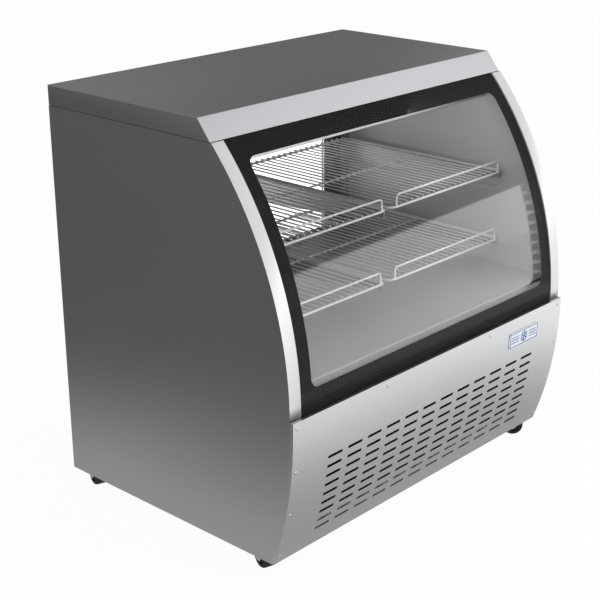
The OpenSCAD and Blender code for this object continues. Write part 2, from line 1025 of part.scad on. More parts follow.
// Square duct behind the condenser with the motor on a cross arm
module condenser_fan_shroud() {
    half = 120;
    y0 = -226;
    y1 = -150;
    opening_r = condenser_fan_r + 5;
    z0 = base_z + base_t + 0.2;
    motor_r = 32;
    color([0.15, 0.15, 0.15])
        difference() {
            box([fan_axis_x - half, y0, z0], [fan_axis_x + half, y1, z0 + 222]);
            box([fan_axis_x - half + 3, y0 - cut, z0 + 3], [fan_axis_x + half - 3, y1 - 40, z0 + 219]);
            translate([fan_axis_x, y1 + cut, fan_axis_z])
                rotate([90, 0, 0])
                    cylinder(r = opening_r, h = 40 + 2 * cut, $fn = 2 * round_fn);
        }
    color([0.15, 0.15, 0.15])
        difference() {
            union() {
                translate([fan_axis_x, y1 + 3.9, fan_axis_z])
                    cube([2 * half, 8, 14], center = true);
                translate([fan_axis_x, y1 + 45, fan_axis_z])
                    rotate([90, 0, 0])
                        cylinder(r = motor_r, h = 45, $fn = round_fn);
            }
            translate([fan_axis_x, y1 + 14, fan_axis_z])
                rotate([90, 0, 0])
                    cylinder(r = condenser_shaft_r + 0.05, h = 20, $fn = 24);
        }
}

module condenser_fan_blade() {
    color("silver")
        translate([fan_axis_x, condenser_fan_y, fan_axis_z])
            rotate([90, 0, 0])
                fan_blades(condenser_fan_r, 24, 30, 5, 26, condenser_shaft_r, 20);
}

// Pipe through a list of points, with a swollen joint at each bend
module pipe(points, r) {
    for (i = [0 : len(points) - 2])
        bar(points[i], points[i + 1], r);
    for (i = [1 : len(points) - 2])
        translate(points[i])
            sphere(r = r * 1.25, $fn = 24);
}

// Discharge, liquid and suction lines
module refrigerant_pipes() {
    top_z = 312;
    riser_x = 250;
    shell_top_z = 280.8;
    color("peru") {
        pipe([
            [compressor_x, compressor_y - 30, shell_top_z],
            [compressor_x, compressor_y - 30, top_z],
            [-120, compressor_y - 30, top_z],
            [-120, -253, top_z - 40],
            [-125, -253, top_z - 55]
        ], 4);
        pipe([
            [compressor_x + 30, compressor_y, shell_top_z],
            [compressor_x + 30, compressor_y, top_z],
            [riser_x + 60, compressor_y, top_z],
            [riser_x + 60, compressor_y, tub_bottom_z - 0.5]
        ], 5.5);
        pipe([
            [-115, -253, 120],
            [-60, -253, 120],
            [-60, -160, 120],
            [-60, -160, tub_bottom_z - 0.5]
        ], 3.5);
    }
    color("peru")
        translate([-60, -160, 170])
            cylinder(r = 12, h = 90, $fn = round_fn);
}

// Shallow open tray that catches and evaporates the drain water
module condensate_pan() {
    a = [-340, 110, base_z + base_t + 0.2];
    b = [-90, 330, base_z + base_t + 45];
    wall = 2;
    color([0.15, 0.15, 0.15])
        difference() {
            box(a, b);
            box([a[0] + wall, a[1] + wall, a[2] + wall], [b[0] - wall, b[1] - wall, b[2] + cut]);
        }
}

// ---------------------------------------------------------------- electrics

// Terminal box with the gland that the supply lead enters by
module electrical_box() {
    color([0.2, 0.2, 0.2]) {
        box([gland_x - 90, 262, base_z + base_t + 0.1], [gland_x + 90, 340, 205]);
        translate([gland_x, 339, gland_z])
            rotate([-90, 0, 0])
                difference() {
                    union() {
                        cylinder(r = 8, h = 35, $fn = round_fn);
                        translate([0, 0, 23])
                            cylinder(r = 12, h = 8, $fn = 6);
                    }
                    translate([0, 0, 12])
                        cylinder(r = 4.5, h = 30, $fn = round_fn);
                }
    }
}

// Electronic thermostat in its bezel, with two holes for the buttons
module controller() {
    bezel = [80, 38, 4];
    body = [71, 29, 58];
    color([0.1, 0.1, 0.1])
        translate([control_x, service_panel_y, control_z])
            rotate([-90, 0, 0])
                difference() {
                    union() {
                        translate([0, 0, bezel[2] / 2 + 0.1])
                            cube(bezel, center = true);
                        translate([0, 0, -body[2] / 2 + 1])
                            cube(body, center = true);
                    }
                    for (s = [-1, 1])
                        translate([s * button_gap, 0, -2])
                            cylinder(r = button_r + 0.3, h = 10, $fn = round_fn);
                }
}

// Round button in the controller's face
module round_button(side) {
    translate([control_x + side * button_gap, service_panel_y - 0.4, control_z])
        rotate([-90, 0, 0])
            cylinder(r = button_r, h = 6, $fn = round_fn);
}

module button_up() {
    color("gainsboro")
        round_button(-1);
}

module button_down() {
    color("gainsboro")
        round_button(1);
}

// Snap-in body that the rocker turns in
module switch_housing() {
    rim_t = 2;
    color([0.1, 0.1, 0.1])
        translate([switch_x, service_panel_y, control_z])
            difference() {
                union() {
                    translate([0, rim_t / 2 + 0.1, 0])
                        cube([switch_body[0] + 6, rim_t, switch_body[2] + 6], center = true);
                    translate([0, rim_t - switch_body[1] / 2, 0])
                        cube(switch_body, center = true);
                }
                translate([0, 0, 0])
                    cube([29.4, 24, rocker_size[2] + 0.8], center = true);
                translate([0, -2, -switch_body[2]])
                    cylinder(r = switch_pin_r + 0.05, h = 2 * switch_body[2], $fn = 24);
            }
}

// Rocker that turns the light on and off, shown pressed at one end
module light_switch() {
    pin_l = rocker_size[2] + 4;
    foot = [20, 8, 12];
    color("firebrick")
        translate([switch_x, service_panel_y - 2, control_z])
            rotate([0, 0, -switch_tilt]) {
                translate([0, rocker_size[1] / 2, 0])
                    cube(rocker_size, center = true);
                translate([0, -foot[1] / 2 + 0.1, 0])
                    cube(foot, center = true);
                translate([0, 0, -pin_l / 2])
                    cylinder(r = switch_pin_r, h = pin_l, $fn = 24);
            }
}

// ---------------------------------------------------------------- casters

// Swivel axis and swivel angle of each caster
caster_places = [
    [-caster_x, caster_front_y, caster_turn],
    [caster_x, caster_front_y, odd_caster_turn],
    [-caster_x, caster_back_y, caster_turn],
    [caster_x, caster_back_y, caster_turn]
];

// Moves a caster part to its place and swivel angle
module at_caster(i) {
    translate([caster_places[i][0], caster_places[i][1], 0])
        rotate([0, 0, caster_places[i][2]])
            children();
}

// Top plate and upper swivel race of every caster, on the base tray's underside
module caster_plates() {
    color("lightgray")
        for (p = caster_places)
            translate([p[0], p[1], 0])
                difference() {
                    union() {
                        translate([0, 0, base_z - 1.6])
                            cube([60, 60, 3], center = true);
                        translate([0, 0, race_bottom_z])
                            cylinder(r = 22, h = base_z - race_bottom_z - 2, $fn = round_fn);
                    }
                    translate([0, 0, race_bottom_z - cut])
                        cylinder(r = kingpin_r + 0.05, h = 20, $fn = round_fn);
                }
}

// Fork with its crown, kingpin and axle
module caster_fork(i) {
    inner = wheel_w / 2 + 1;
    crown_top_z = race_bottom_z - 0.3;
    crown_z = wheel_d + 3;
    color("gainsboro")
        at_caster(i) {
            for (s = [0, 1])
                mirror([s, 0, 0])
                    across(inner, inner + cheek_t)
                        union() {
                            polygon([
                                [-17, crown_z + 3],
                                [-17, crown_z - 5],
                                [caster_trail - 9, axle_z - 3],
                                [caster_trail + 9, axle_z - 3],
                                [caster_trail + 8, crown_z - 10],
                                [17, crown_z + 3]
                            ]);
                            translate([caster_trail, axle_z])
                                circle(r = 9.5, $fn = round_fn);
                        }
            translate([-inner - cheek_t, -17, crown_z])
                cube([2 * (inner + cheek_t), 34, 3]);
            translate([0, 0, crown_z + 1])
                cylinder(r = 20, h = crown_top_z - crown_z - 1, $fn = round_fn);
            translate([0, 0, crown_z + 1])
                cylinder(r = kingpin_r, h = base_z - 4 - crown_z, $fn = round_fn);
            translate([-inner - cheek_t - 2.5, caster_trail, axle_z])
                rotate([0, 90, 0])
                    cylinder(r = axle_r, h = 2 * (inner + cheek_t) + 5, $fn = round_fn);
        }
}

// Wheel with a rounded tread and a bore that runs on the axle
module caster_wheel(i) {
    r = wheel_d / 2;
    h = wheel_w / 2;
    color([0.08, 0.08, 0.08])
        at_caster(i)
            translate([0, caster_trail, axle_z])
                rotate([0, 90, 0])
                    rotate_extrude($fn = 2 * round_fn)
                        polygon([
                            [axle_r + 0.05, -h],
                            [9, -h],
                            [10, -h + 3],
                            [17, -h + 3],
                            [18.5, -h],
                            [r - 3, -h],
                            [r - 0.8, -h + 2.2],
                            [r, -h + 6],
                            [r, h - 6],
                            [r - 0.8, h - 2.2],
                            [r - 3, h],
                            [18.5, h],
                            [17, h - 3],
                            [10, h - 3],
                            [9, h],
                            [axle_r + 0.05, h]
                        ]);
}

module caster_fork_front_left() {
    caster_fork(0);
}

module caster_fork_front_right() {
    caster_fork(1);
}

module caster_fork_back_left() {
    caster_fork(2);
}

module caster_fork_back_right() {
    caster_fork(3);
}

module caster_wheel_front_left() {
    caster_wheel(0);
}

module caster_wheel_front_right() {
    caster_wheel(1);
}

module caster_wheel_back_left() {
    caster_wheel(2);
}

module caster_wheel_back_right() {
    caster_wheel(3);
}

side_panel_left();
side_panel_right();
insulation();
liner_left();
liner_right();
ceiling_liner();
top_cap();
base_frame();
glass_outer();
glass_border();
glass_spacer();
glass_inner();
glass_sill();
front_panel();
screws();
badge_plate();
evaporator_tub();
deck_pan();
rear_frame();
door_tracks();
rear_panel();
door_left_frame();
door_left_glass();
door_left_handle();
door_right_frame();
door_right_glass();
door_right_handle();
shelf_posts();
brackets_upper();
brackets_lower();
shelf_upper_left();
shelf_upper_right();
shelf_lower_left();
shelf_lower_right();
led_housing();
led_lens();
evaporator_coil();
evaporator_fan_frame();
evaporator_fan_blade();
compressor();
condenser_coil();
condenser_fan_shroud();
condenser_fan_blade();
refrigerant_pipes();
condensate_pan();
electrical_box();
controller();
button_up();
button_down();
switch_housing();
light_switch();
caster_plates();
caster_fork_front_left();
caster_fork_front_right();
caster_fork_back_left();
caster_fork_back_right();
caster_wheel_front_left();
caster_wheel_front_right();
caster_wheel_back_left();
caster_wheel_back_right();
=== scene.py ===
"""Refrigerated deli case: finishes, fine pieces, stage, lights and camera."""

import json
import math

import bmesh
import bpy
from mathutils import Matrix, Vector


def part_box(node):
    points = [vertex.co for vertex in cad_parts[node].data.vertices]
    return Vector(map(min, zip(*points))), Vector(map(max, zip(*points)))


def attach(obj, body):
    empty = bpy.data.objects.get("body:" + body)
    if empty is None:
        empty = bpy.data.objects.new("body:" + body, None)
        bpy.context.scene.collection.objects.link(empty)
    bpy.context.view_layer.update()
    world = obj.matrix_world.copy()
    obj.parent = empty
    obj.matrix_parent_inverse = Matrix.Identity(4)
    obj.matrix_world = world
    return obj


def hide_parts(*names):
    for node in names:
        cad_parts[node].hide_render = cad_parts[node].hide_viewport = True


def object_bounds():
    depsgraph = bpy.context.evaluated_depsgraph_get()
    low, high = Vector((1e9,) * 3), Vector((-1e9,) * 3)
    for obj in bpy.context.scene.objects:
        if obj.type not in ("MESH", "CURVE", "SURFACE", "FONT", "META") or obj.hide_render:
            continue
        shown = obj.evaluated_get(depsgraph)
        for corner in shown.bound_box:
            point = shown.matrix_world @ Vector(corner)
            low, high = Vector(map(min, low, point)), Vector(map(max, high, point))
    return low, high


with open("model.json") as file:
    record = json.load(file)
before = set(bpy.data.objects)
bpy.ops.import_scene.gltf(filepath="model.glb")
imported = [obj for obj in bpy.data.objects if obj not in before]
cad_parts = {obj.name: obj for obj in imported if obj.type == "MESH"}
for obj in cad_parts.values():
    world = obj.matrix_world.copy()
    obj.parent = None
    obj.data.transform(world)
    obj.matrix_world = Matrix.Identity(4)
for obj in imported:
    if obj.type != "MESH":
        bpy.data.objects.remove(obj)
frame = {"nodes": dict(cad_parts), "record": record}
cad_low, cad_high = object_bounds()
nodes = frame["nodes"]
scene = bpy.context.scene

# ---------------------------------------------------------------- camera

CAMERA_PLACE = (-2.3661, -2.1131, 1.6381)
CAMERA_YAW = 47.83
CAMERA_PITCH = -21.19
CAMERA_LENS = 81.66
CAMERA_SHIFT = (-0.02083, 0.02393)


def make_camera():
    data = bpy.data.cameras.new("case_camera")
    data.sensor_width = 36
    data.lens = CAMERA_LENS
    data.shift_x, data.shift_y = CAMERA_SHIFT
    data.clip_start, data.clip_end = 0.05, 60
    cam = bpy.data.objects.new("case_camera", data)
    cam.location = CAMERA_PLACE
    cam.rotation_euler = (math.radians(90 + CAMERA_PITCH), 0, math.radians(-CAMERA_YAW))
    scene.collection.objects.link(cam)
    scene.camera = cam


make_camera()

# ---------------------------------------------------------------- shader helpers


def new_material(name):
    """A material with its Principled shader: (material, tree, shader)."""
    mat = bpy.data.materials.new(name)
    mat.use_nodes = True
    tree = mat.node_tree
    return mat, tree, tree.nodes["Principled BSDF"]


def add(tree, kind, **settings):
    """A node of that kind, its sockets set by name and its properties by keyword."""
    node = tree.nodes.new(kind)
    for key, value in settings.items():
        if key == "sockets":
            for socket, number in value.items():
                node.inputs[socket].default_value = number
        else:
            setattr(node, key, value)
    return node


def math_node(tree, operation, first, second, clamp=False):
    """One maths step on two sockets or numbers."""
    node = add(tree, "ShaderNodeMath", operation=operation, use_clamp=clamp)
    for place, value in enumerate((first, second)):
        if isinstance(value, (int, float)):
            node.inputs[place].default_value = value
        else:
            tree.links.new(value, node.inputs[place])
    return node.outputs[0]


def centred(tree, noise, gain):
    """The noise as a change either way from nothing, times the gain."""
    return math_node(tree, "MULTIPLY", math_node(tree, "SUBTRACT", noise, 0.5), gain)


def shade_color(tree, gin, gout, change):
    """The group's colour made lighter or darker by the change."""
    shade = add(tree, "ShaderNodeVectorMath", operation="SCALE")
    tree.links.new(gin.outputs["Color"], shade.inputs[0])
    tree.links.new(math_node(tree, "ADD", change, 1.0), shade.inputs["Scale"])
    tree.links.new(shade.outputs[0], gout.inputs["Color"])


def mix_surface(tree, share, first, second):
    """The material's surface: first where share is 0, second where it is 1."""
    mix = add(tree, "ShaderNodeMixShader")
    tree.links.new(share, mix.inputs["Fac"])
    tree.links.new(first.outputs[0], mix.inputs[1])
    tree.links.new(second.outputs[0], mix.inputs[2])
    tree.links.new(mix.outputs[0], tree.nodes["Material Output"].inputs["Surface"])


def group_sockets(tree, ins, outs):
    """Named inputs with their defaults and named outputs on a node group."""
    for name, kind, value in ins:
        socket = tree.interface.new_socket(name, in_out="INPUT", socket_type=kind)
        socket.default_value = value
    for name, kind in outs:
        tree.interface.new_socket(name, in_out="OUTPUT", socket_type=kind)
    return tree.nodes.new("NodeGroupInput"), tree.nodes.new("NodeGroupOutput")


FLOAT, COLOR, VECTOR = "NodeSocketFloat", "NodeSocketColor", "NodeSocketVector"


# How far a light streak is also smoother
SHINE_OF_STREAK = -0.8


def make_grain_group():
    """Rolled or brushed sheet: long fine streaks and broad mottling."""
    tree = bpy.data.node_groups.new("sheet_grain", "ShaderNodeTree")
    gin, gout = group_sockets(
        tree,
        [
            ("Coords", VECTOR, (0, 0, 0)),
            ("Color", COLOR, (0.6, 0.6, 0.6, 1)),
            ("Roughness", FLOAT, 0.35),
            ("Streak", FLOAT, 0.06),
            ("Mottle", FLOAT, 0.05),
        ],
        [("Color", COLOR), ("Roughness", FLOAT), ("Height", FLOAT)],
    )
    fine = add(tree, "ShaderNodeTexNoise", sockets={"Scale": 1.0, "Detail": 3.0, "Roughness": 0.6})
    tree.links.new(gin.outputs["Coords"], fine.inputs["Vector"])
    broad = add(tree, "ShaderNodeTexNoise", sockets={"Scale": 0.012, "Detail": 2.0})
    tree.links.new(gin.outputs["Coords"], broad.inputs["Vector"])

    streak = centred(tree, fine.outputs["Fac"], gin.outputs["Streak"])
    mottle = centred(tree, broad.outputs["Fac"], gin.outputs["Mottle"])
    both = math_node(tree, "ADD", streak, mottle)
    shade_color(tree, gin, gout, both)
    rough = add(tree, "ShaderNodeMath", operation="MULTIPLY_ADD", use_clamp=True)
    tree.links.new(both, rough.inputs[0])
    rough.inputs[1].default_value = SHINE_OF_STREAK
    tree.links.new(gin.outputs["Roughness"], rough.inputs[2])
    tree.links.new(rough.outputs[0], gout.inputs["Roughness"])
    tree.links.new(fine.outputs["Fac"], gout.inputs["Height"])
    return tree


def make_moulded_group():
    """Moulded or painted skin: fine pebble and a slow change of tone."""
    tree = bpy.data.node_groups.new("moulded_skin", "ShaderNodeTree")
    gin, gout = group_sockets(
        tree,
        [
            ("Color", COLOR, (0.1, 0.1, 0.1, 1)),
            ("Roughness", FLOAT, 0.5),
            ("Pebble size", FLOAT, 900.0),
            ("Change", FLOAT, 0.15),
        ],
        [("Color", COLOR), ("Roughness", FLOAT), ("Height", FLOAT)],
    )
    coords = add(tree, "ShaderNodeTexCoord")
    pebble = add(tree, "ShaderNodeTexNoise", sockets={"Detail": 2.0})
    tree.links.new(coords.outputs["Object"], pebble.inputs["Vector"])
    tree.links.new(gin.outputs["Pebble size"], pebble.inputs["Scale"])
    slow = add(tree, "ShaderNodeTexNoise", sockets={"Scale": 9.0, "Detail": 3.0})
    tree.links.new(coords.outputs["Object"], slow.inputs["Vector"])
    change = centred(tree, slow.outputs["Fac"], gin.outputs["Change"])
    shade_color(tree, gin, gout, change)
    rough = math_node(tree, "ADD", change, gin.outputs["Roughness"], clamp=True)
    tree.links.new(rough, gout.inputs["Roughness"])
    tree.links.new(pebble.outputs["Fac"], gout.inputs["Height"])
    return tree


GRAIN = make_grain_group()
MOULDED = make_moulded_group()

# Grain runs along the small number: cycles per metre on X, Y and Z
ALONG_X = (6, 900, 900)
ALONG_Y = (900, 6, 900)


def bump_from(tree, shader, height, distance, strength=0.3):
    bump = add(tree, "ShaderNodeBump")
    bump.inputs["Strength"].default_value = strength
    bump.inputs["Distance"].default_value = distance
    tree.links.new(height, bump.inputs["Height"])
    tree.links.new(bump.outputs["Normal"], shader.inputs["Normal"])


def sheet_metal(name, color, rough, grain, streak=0.08, mottle=0.06, metallic=1.0):
    """Brushed or rolled metal, its grain along one axis."""
    mat, tree, shader = new_material(name)
    coords = add(tree, "ShaderNodeTexCoord")
    mapping = add(tree, "ShaderNodeMapping", sockets={"Scale": grain})
    tree.links.new(coords.outputs["Object"], mapping.inputs["Vector"])
    sheet = add(tree, "ShaderNodeGroup", node_tree=GRAIN)
    sheet.inputs["Color"].default_value = (*color, 1)
    sheet.inputs["Roughness"].default_value = rough
    sheet.inputs["Streak"].default_value = streak
    sheet.inputs["Mottle"].default_value = mottle
    tree.links.new(mapping.outputs["Vector"], sheet.inputs["Coords"])
    tree.links.new(sheet.outputs["Color"], shader.inputs["Base Color"])
    tree.links.new(sheet.outputs["Roughness"], shader.inputs["Roughness"])
    shader.inputs["Metallic"].default_value = metallic
    bump_from(tree, shader, sheet.outputs["Height"], 0.00005, 0.15)
    return mat


def moulded(
    name, color, rough, pebble=900.0, change=0.15, metallic=0.0, coat=0.0, depth=0.0001, shine=0.5
):
    """Plastic, rubber, paint or plating with a fine skin."""
    mat, tree, shader = new_material(name)
    skin = add(tree, "ShaderNodeGroup", node_tree=MOULDED)
    skin.inputs["Color"].default_value = (*color, 1)
    skin.inputs["Roughness"].default_value = rough
    skin.inputs["Pebble size"].default_value = pebble
    skin.inputs["Change"].default_value = change
    tree.links.new(skin.outputs["Color"], shader.inputs["Base Color"])
    tree.links.new(skin.outputs["Roughness"], shader.inputs["Roughness"])
    shader.inputs["Metallic"].default_value = metallic
    shader.inputs["Coat Weight"].default_value = coat
    shader.inputs["Specular IOR Level"].default_value = shine
    bump_from(tree, shader, skin.outputs["Height"], depth)
    return mat


def clear_glass(name, tint, ior, smear):
    """Glass that lets light through to what stands behind it."""
    mat, tree, shader = new_material(name)
    coords = add(tree, "ShaderNodeTexCoord")
    haze = add(tree, "ShaderNodeTexNoise", sockets={"Scale": 5.0, "Detail": 4.0})
    tree.links.new(coords.outputs["Object"], haze.inputs["Vector"])
    rough = math_node(tree, "MULTIPLY", haze.outputs["Fac"], smear)
    tree.links.new(rough, shader.inputs["Roughness"])
    shader.inputs["Base Color"].default_value = (*tint, 1)
    shader.inputs["Transmission Weight"].default_value = 1.0
    shader.inputs["IOR"].default_value = ior
    path = add(tree, "ShaderNodeLightPath")
    either = math_node(tree, "MAXIMUM", path.outputs["Is Shadow Ray"], path.outputs["Is Diffuse Ray"])
    through = add(tree, "ShaderNodeBsdfTransparent")
    through.inputs["Color"].default_value = (*tint, 1)
    mix_surface(tree, either, shader, through)
    return mat


def printed_border(name, color):
    """Black print behind the glass, left out of what the inner pane mirrors."""
    mat = moulded(name, color, 0.6, 1200, 0.1, shine=0.1)
    tree = mat.node_tree
    path = add(tree, "ShaderNodeLightPath")
    glossy, through = path.outputs["Is Glossy Ray"], path.outputs["Is Transmission Ray"]
    mirrored = math_node(tree, "SUBTRACT", glossy, through, clamp=True)
    mix_surface(tree, mirrored, tree.nodes["Principled BSDF"], add(tree, "ShaderNodeBsdfTransparent"))
    return mat


# ---------------------------------------------------------------- finishes

FINISH = {
    "end_wall_steel": sheet_metal("end_wall_steel", (0.595, 0.605, 0.6), 0.34, ALONG_Y),
    "cap_steel": sheet_metal("cap_steel", (0.545, 0.55, 0.57), 0.32, ALONG_X),
    "liner_steel": sheet_metal("liner_steel", (0.54, 0.54, 0.54), 0.45, ALONG_Y, metallic=0.35),
    "deck_steel": sheet_metal("deck_steel", (0.41, 0.41, 0.41), 0.42, ALONG_X, metallic=0.6),
    "front_steel": sheet_metal("front_steel", (0.625, 0.63, 0.638), 0.36, ALONG_X),
    "rear_steel": sheet_metal("rear_steel", (0.58, 0.58, 0.585), 0.4, ALONG_X),
    "bracket_steel": sheet_metal("bracket_steel", (0.35, 0.35, 0.36), 0.4, ALONG_Y),
    "galvanized": sheet_metal("galvanized", (0.5, 0.51, 0.52), 0.5, (40, 40, 40), 0.2, 0.2),
    "aluminium": sheet_metal("aluminium", (0.62, 0.62, 0.63), 0.35, ALONG_X),
    "fins": sheet_metal("fins", (0.55, 0.56, 0.57), 0.45, (600, 20, 20), 0.5, 0.1),
    # Painted shade: the condenser fins are near black so that the slots of the front panel before
    # them read as shade
    "painted_shade_fins": sheet_metal("painted_shade_fins", (0.03, 0.03, 0.032), 0.5, (600, 20, 20), 0.5, 0.1),
    "zinc": moulded("zinc", (0.7, 0.7, 0.7), 0.25, 300, 0.1, metallic=1.0),
    "screw_steel": moulded("screw_steel", (0.68, 0.68, 0.69), 0.25, 500, 0.1, metallic=1.0),
    "shelf_wire": moulded("shelf_wire", (0.7, 0.7, 0.7), 0.32, 400, 0.1, metallic=0.35),
    "black_print": printed_border("black_print", (0.012, 0.012, 0.0125)),
    "black_frame": moulded("black_frame", (0.02, 0.02, 0.021), 0.4, 900, 0.2),
    "grey_plastic": moulded("grey_plastic", (0.3, 0.3, 0.3), 0.45, 900, 0.1),
    "white_plastic": moulded("white_plastic", (0.8, 0.8, 0.8), 0.4, 700, 0.05),
    "badge_white": moulded("badge_white", (0.8, 0.81, 0.82), 0.3, 700, 0.05, coat=0.5),
    "dark_plastic": moulded("dark_plastic", (0.02, 0.02, 0.02), 0.5, 900, 0.2),
    "shell_paint": moulded("shell_paint", (0.015, 0.015, 0.016), 0.3, 300, 0.2, coat=0.3),
    "copper": moulded("copper", (0.75, 0.4, 0.25), 0.35, 200, 0.3, metallic=1.0),
    "foam": moulded("foam", (0.75, 0.66, 0.4), 0.85, 250, 0.2, depth=0.0006),
    "tub_plastic": moulded("tub_plastic", (0.6, 0.61, 0.62), 0.5, 700, 0.08),
    "wheel_rubber": moulded("wheel_rubber", (0.012, 0.012, 0.012), 0.55, 800, 0.3),
    "rocker_red": moulded("rocker_red", (0.5, 0.02, 0.015), 0.3, 900, 0.1, coat=0.4),
    "emblem_blue": moulded("emblem_blue", (0.02, 0.16, 0.5), 0.3, 600, 0.1, coat=0.4),
    "display_tint": moulded("display_tint", (0.05, 0.004, 0.004), 0.12, 900, 0.05, coat=0.6),
    "display_digit": moulded("display_digit", (0.8, 0.05, 0.02), 0.3, 900, 0.05),
    "front_glass": clear_glass("front_glass", (0.985, 0.988, 0.987), 1.07, 0.02),
    "inner_glass": clear_glass("inner_glass", (0.985, 0.99, 0.988), 1.45, 0.02),
    "door_glass": clear_glass("door_glass", (0.97, 0.98, 0.975), 1.3, 0.02),
}

NODE_FINISH = {
    "end_wall_steel": ["side_panel_left", "side_panel_right"],
    "cap_steel": ["top_cap"],
    "liner_steel": ["liner_left", "liner_right", "ceiling_liner"],
    "deck_steel": ["deck_pan"],
    "front_steel": ["front_panel"],
    "rear_steel": ["rear_panel"],
    "bracket_steel": ["shelf_posts", "brackets_upper", "brackets_lower"],
    "galvanized": ["base_frame", "glass_sill", "caster_plates"],
    "aluminium": ["led_housing", "door_left_handle", "door_right_handle", "condenser_fan_blade"],
    "fins": ["evaporator_coil"],
    "painted_shade_fins": ["condenser_coil"],
    "screw_steel": ["screws"],
    "shelf_wire": ["shelf_upper_left", "shelf_upper_right", "shelf_lower_left", "shelf_lower_right"],
    "black_print": ["glass_border", "glass_spacer"],
    "black_frame": ["rear_frame", "door_left_frame", "door_right_frame"],
    "grey_plastic": ["door_tracks", "button_up", "button_down"],
    "white_plastic": ["led_lens"],
    "badge_white": ["badge_plate"],
    "dark_plastic": [
        "evaporator_fan_frame",
        "evaporator_fan_blade",
        "condenser_fan_shroud",
        "condensate_pan",
        "electrical_box",
        "controller",
        "switch_housing",
    ],
    "shell_paint": ["compressor"],
    "copper": ["refrigerant_pipes"],
    "foam": ["insulation"],
    "tub_plastic": ["evaporator_tub"],
    "rocker_red": ["light_switch"],
    "front_glass": ["glass_outer"],
    "inner_glass": ["glass_inner"],
    "door_glass": ["door_left_glass", "door_right_glass"],
}
for corner in ("front_left", "front_right", "back_left", "back_right"):
    NODE_FINISH.setdefault("zinc", []).append("caster_fork_" + corner)
    NODE_FINISH.setdefault("wheel_rubber", []).append("caster_wheel_" + corner)

for finish, names in NODE_FINISH.items():
    for name in names:
        obj = nodes[name]
        obj.data.materials.clear()
        obj.data.materials.append(FINISH[finish])

# ---------------------------------------------------------------- piece helpers


def finish_piece(name, bm, finish, body, slot, stands_for=(), smooth=40):
    """Makes an object of the bmesh, smooths it by angle and hands it to its body."""
    mesh = bpy.data.meshes.new(name)
    bm.to_mesh(mesh)
    bm.free()
    obj = bpy.data.objects.new(name, mesh)
    scene.collection.objects.link(obj)
    mesh.materials.append(FINISH[finish])
    if smooth:
        mesh.shade_smooth()
        mesh.set_sharp_from_angle(angle=math.radians(smooth))
    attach(obj, body)
    if stands_for:
        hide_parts(*stands_for)
    return obj


def node_bmesh(name):
    """A merged copy of a CAD node with its flat faces whole."""
    bm = bmesh.new()
    bm.from_mesh(nodes[name].data)
    bmesh.ops.remove_doubles(bm, verts=bm.verts, dist=0.00002)
    bmesh.ops.dissolve_limit(bm, angle_limit=math.radians(0.2), verts=bm.verts, edges=bm.edges)
    return bm


def broad_edge(edge, depth, turn):
    """True for an outer edge between two faces that both reach back at least depth from it."""
    if len(edge.link_faces) != 2 or not edge.is_convex:
        return False
    if edge.calc_face_angle(0) < math.radians(turn):
        return False
    length = edge.calc_length()
    return length > depth and all(f.calc_area() / length > depth for f in edge.link_faces)


def bevel(bm, edges, width, segments=2):
    """Rounds these edges."""
    bmesh.ops.bevel(
        bm,
        geom=edges,
        offset=width,
        offset_type="OFFSET",
        affect="EDGES",
        segments=segments,
        profile=0.5,
        material=-1,
        clamp_overlap=True,
    )


def soften(bm, width, depth=0.003, turn=25, segments=3):
    """Rounds the outer folds of a sheet or block."""
    bevel(bm, [e for e in bm.edges if broad_edge(e, depth, turn)], width, segments)


def soft_copy(name, finish, body, width, **options):
    """A CAD node's shape with rounded folds, standing for the node."""
    bm = node_bmesh(name)
    soften(bm, width, **options)
    slot = SLOT[name]
    return finish_piece(name + "_formed", bm, finish, body, slot, (name,))


SLOT = {part["node"]: part["material_slot"] for part in frame["record"]["subparts"]}
BODY = {node: body for body, held in frame["record"]["behaviour"]["bodies"].items() for node in held}

# ---------------------------------------------------------------- sheet metal with rounded folds

FORMED = {
    "top_cap": 0.0016,
    "side_panel_left": 0.0012,
    "side_panel_right": 0.0012,
    "rear_frame": 0.002,
    "door_left_frame": 0.0015,
    "door_right_frame": 0.0015,
    "glass_sill": 0.001,
    "controller": 0.0012,
    "switch_housing": 0.0006,
    "light_switch": 0.001,
    "electrical_box": 0.002,
    "base_frame": 0.0008,
    "led_housing": 0.001,
}
FINISH_OF = {name: finish for finish, names in NODE_FINISH.items() for name in names}
for name, width in FORMED.items():
    soft_copy(name, FINISH_OF[name], BODY[name], width)

# ---------------------------------------------------------------- hardware helpers


def stamp(bm, template, place):
    """Adds a copy of the template bmesh at the place."""
    mesh = bpy.data.meshes.new("template")
    template.to_mesh(mesh)
    mesh.transform(place)
    bm.from_mesh(mesh)
    bpy.data.meshes.remove(mesh)


def standing(spot, axis):
    """A place with its origin at the spot and +Z along the axis."""
    return Matrix.Translation(spot) @ Vector(axis).to_track_quat("Z", "Y").to_matrix().to_4x4()


def raise_ring(bm, edges, scale, lift):
    """Extrudes a loop of edges upwards and scales it, giving the new loop."""
    new = bmesh.ops.extrude_edge_only(bm, edges=edges)["geom"]
    verts = [g for g in new if isinstance(g, bmesh.types.BMVert)]
    bmesh.ops.scale(bm, vec=(scale, scale, 1), verts=verts)
    bmesh.ops.translate(bm, vec=(0, 0, lift), verts=verts)
    loops = [g for g in new if isinstance(g, bmesh.types.BMEdge)]
    return [edge for edge in loops if all(v in verts for v in edge.verts)]


def ring_edges(bm, verts):
    """The edges that join these vertices to each other."""
    held = set(verts)
    return [e for e in bm.edges if e.verts[0] in held and e.verts[1] in held]


